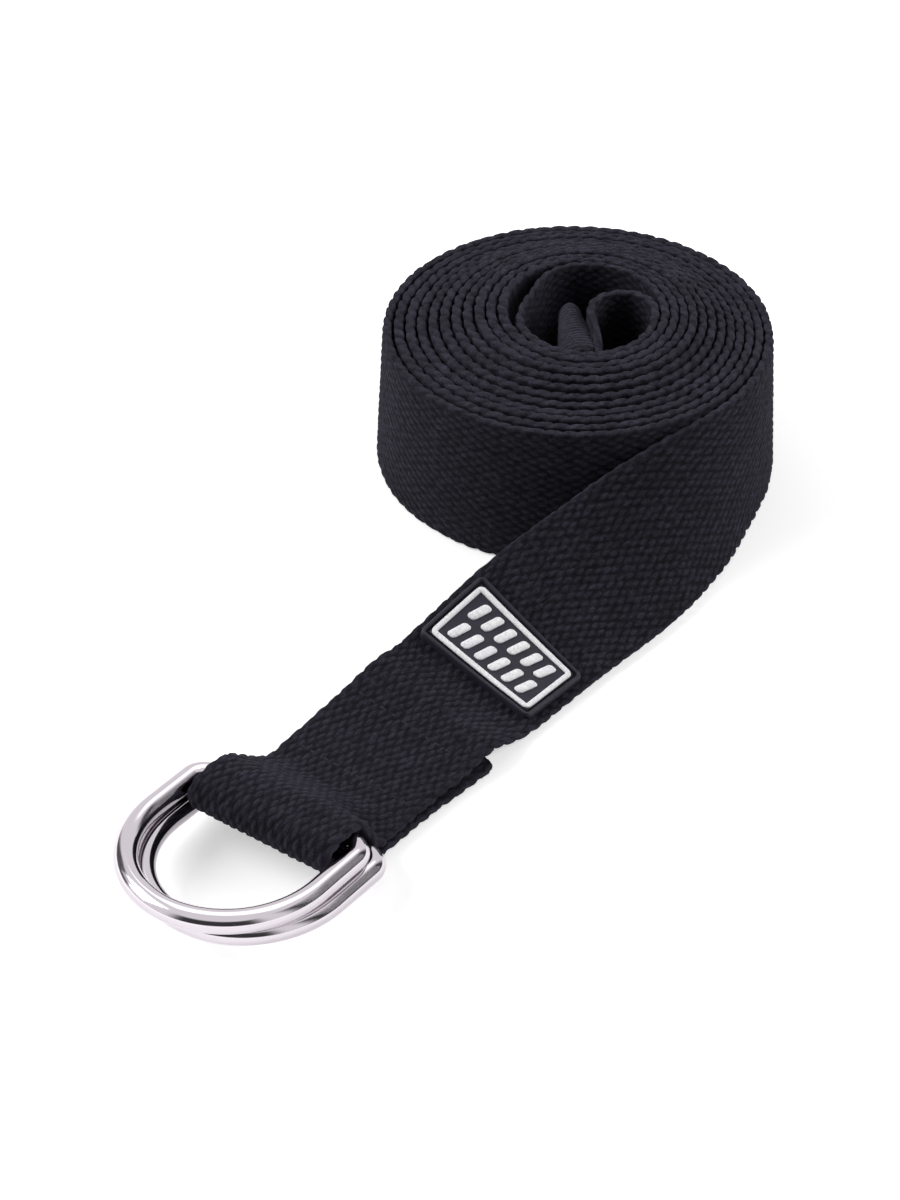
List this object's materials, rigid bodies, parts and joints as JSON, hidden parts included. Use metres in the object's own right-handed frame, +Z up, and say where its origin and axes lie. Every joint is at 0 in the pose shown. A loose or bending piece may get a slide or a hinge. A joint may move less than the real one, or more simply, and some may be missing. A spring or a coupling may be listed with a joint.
{
  "type": "stretching strap",
  "caption": "Rolled-up woven stretching strap whose free end runs flat to a sewn loop with a pair of D-rings, and carries a moulded label patch.",
  "frame": {"origin": "middle of the underside, on the surface that the strap lies on", "axes": "+X along the flat end from the roll towards the rings, +Y along the bars of the rings, +Z up"},
  "size_m": [0.2516, 0.109, 0.0425],
  "materials": {
    "webbing": "coarse woven cotton webbing, near black",
    "hem": "turned-over end of the webbing, smoother and greyer",
    "ring": "polished nickel plate",
    "label": "soft moulded dark grey",
    "label_line": "moulded white line",
    "thread": "black sewing thread"
  },
  "bodies": {
    "strap": {"webbing_roll": "webbing", "webbing_lead": "webbing", "webbing_fold": "webbing", "webbing_fold_back": "webbing", "webbing_hem": "hem", "label_patch": "label", "label_frame": "label_line", "label_stitching": "thread", "fold_stitch_front": "thread", "fold_stitch_rear": "thread", "hem_stitching": "thread"},
    "upper_ring": {"d_ring_upper": "ring"},
    "lower_ring": {"d_ring_lower": "ring"}
  },
  "joints": [
    {"name": "upper_ring_swing", "type": "hinge", "parent": "strap", "child": "upper_ring", "pos_m": [0.08231, 0.02487, 0.01108], "axis": [0, -1, 0], "range_deg": [0, 140]},
    {"name": "lower_ring_swing", "type": "hinge", "parent": "strap", "child": "lower_ring", "pos_m": [0.07821, 0.02607, 0.0051], "axis": [0, -1, 0], "range_deg": [-150, 0]}
  ]
}
